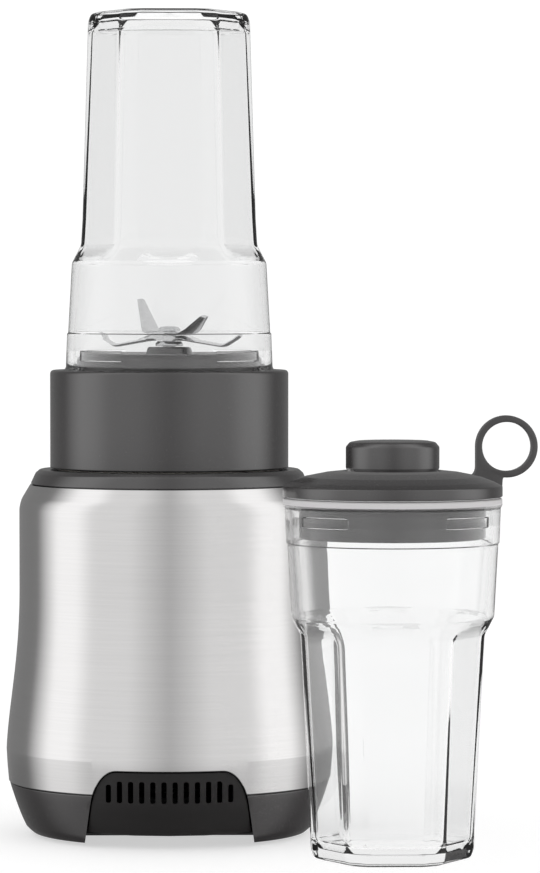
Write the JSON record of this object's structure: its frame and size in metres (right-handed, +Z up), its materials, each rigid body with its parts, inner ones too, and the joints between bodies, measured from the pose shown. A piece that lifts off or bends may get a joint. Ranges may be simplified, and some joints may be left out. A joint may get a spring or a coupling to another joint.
{
  "type": "countertop blender",
  "caption": "Personal blender: waisted steel motor base, inverted clear cup screwed to a blade collar that twists onto the base, and a second clear cup with a carry lid.",
  "frame": {"origin": "on the motor base's axis, at the surface it stands on, a plate's thickness below the bottom plate's underside", "axes": "+Z up along the base's axis, -Y towards the front with the vent, +X to the right of a viewer facing the front"},
  "size_m": [0.2415, 0.2249, 0.3855],
  "materials": {
    "housing_steel": "vertically brushed satin",
    "charcoal_plastic": "fine satin",
    "dark_plastic": "satin",
    "inner_plastic": "moulded",
    "rubber": "matte",
    "turned_steel": "turned",
    "motor_iron": "laminated",
    "copper": "lacquered copper",
    "brass": "satin",
    "carbon": "graphite",
    "circuit_board": "lacquered",
    "nylon": "natural nylon",
    "blade_steel": "ground",
    "seal": "translucent silicone",
    "clear_cup": "clear, polished"
  },
  "bodies": {
    "base": {"steel_housing": "housing_steel", "base_skirt": "charcoal_plastic", "vent_grille": "dark_plastic", "bottom_plate": "inner_plastic", "foot_1": "rubber", "foot_2": "rubber", "foot_3": "rubber", "foot_4": "rubber", "bottom_screw_1": "turned_steel", "bottom_screw_2": "turned_steel", "bottom_screw_3": "turned_steel", "bottom_screw_4": "turned_steel", "rubber_mount_1": "rubber", "rubber_mount_2": "rubber", "rubber_mount_3": "rubber", "cord_inlet": "rubber", "top_deck": "charcoal_plastic", "interlock_switch": "inner_plastic", "motor_cradle": "inner_plastic", "upper_motor_bracket": "motor_iron", "lower_bearing": "turned_steel", "upper_bearing": "turned_steel", "motor_stator": "motor_iron", "field_coil_right": "copper", "field_coil_left": "copper", "brush_holder_front": "brass", "brush_holder_back": "brass", "carbon_brush_front": "carbon", "carbon_brush_back": "carbon", "brush_spring_front": "turned_steel", "brush_spring_back": "turned_steel", "fan_shroud": "inner_plastic", "control_board": "circuit_board"},
    "rotor": {"motor_shaft": "turned_steel", "armature": "motor_iron", "commutator": "copper", "cooling_fan": "inner_plastic", "drip_slinger": "rubber", "drive_coupling": "dark_plastic"},
    "interlock_ring": {"interlock_ring": "nylon"},
    "interlock_plunger": {"interlock_plunger": "nylon"},
    "collar": {"blade_collar": "charcoal_plastic", "lower_bush": "brass", "shaft_seal": "rubber", "upper_bush": "brass"},
    "cutter": {"cutter_shaft": "turned_steel", "driven_coupling": "dark_plastic", "retaining_clip": "turned_steel", "blade_spacer": "turned_steel", "lower_blade": "blade_steel", "upper_blade": "blade_steel", "blade_nut": "turned_steel"},
    "cup_seal": {"cup_seal": "seal"},
    "blending_cup": {"blending_cup": "clear_cup"},
    "travel_cup": {"travel_cup": "clear_cup"},
    "lid_seal": {"lid_seal": "seal"},
    "travel_lid": {"travel_lid": "charcoal_plastic"},
    "cap_seal": {"cap_seal": "rubber"},
    "drink_cap": {"drink_cap": "charcoal_plastic"}
  },
  "joints": [
    {"name": "motor_spin", "type": "hinge", "parent": "base", "child": "rotor", "pos_m": [0, 0, 0.1], "axis": [0, 0, 1], "continuous": true},
    {"name": "collar_twist", "type": "hinge", "parent": "base", "child": "interlock_ring", "pos_m": [0, 0, 0.171], "axis": [0, 0, 1], "range_deg": [0, 30]},
    {"name": "plunger_rise", "type": "slide", "parent": "base", "child": "interlock_plunger", "axis": [0, 0, 1], "range_m": [0, 0.0021]},
    {"name": "collar_lift", "type": "slide", "parent": "interlock_ring", "child": "collar", "axis": [0, 0, 1], "range_m": [0, 0.1]},
    {"name": "cutter_spin", "type": "hinge", "parent": "collar", "child": "cutter", "pos_m": [0, 0, 0.22], "axis": [0, 0, 1], "continuous": true},
    {"name": "cup_turn", "type": "hinge", "parent": "collar", "child": "cup_seal", "pos_m": [0, 0, 0.214], "axis": [0, 0, 1], "range_deg": [0, 90]},
    {"name": "cup_lift", "type": "slide", "parent": "cup_seal", "child": "blending_cup", "axis": [0, 0, 1], "range_m": [0, 0.12]},
    {"name": "travel_cup_lift", "type": "slide", "parent": "base", "child": "travel_cup", "axis": [0, 0, 1], "range_m": [0, 0.2]},
    {"name": "lid_lift", "type": "slide", "parent": "travel_cup", "child": "lid_seal", "axis": [0, 0, 1], "range_m": [0, 0.06]},
    {"name": "lid_turn", "type": "hinge", "parent": "lid_seal", "child": "travel_lid", "pos_m": [0.1, -0.099, 0.165], "axis": [0, 0, 1], "range_deg": [0, 90]},
    {"name": "cap_lift", "type": "slide", "parent": "travel_lid", "child": "cap_seal", "axis": [0, 0, 1], "range_m": [0, 0.03]},
    {"name": "cap_turn", "type": "hinge", "parent": "cap_seal", "child": "drink_cap", "pos_m": [0.1, -0.099, 0.18], "axis": [0, 0, 1], "range_deg": [0, 90]}
  ],
  "couplings": [
    {"joint": "cutter_spin", "follows": "motor_spin", "ratio": 1},
    {"joint": "plunger_rise", "follows": "collar_twist", "m_per_rad": 0.0038}
  ]
}
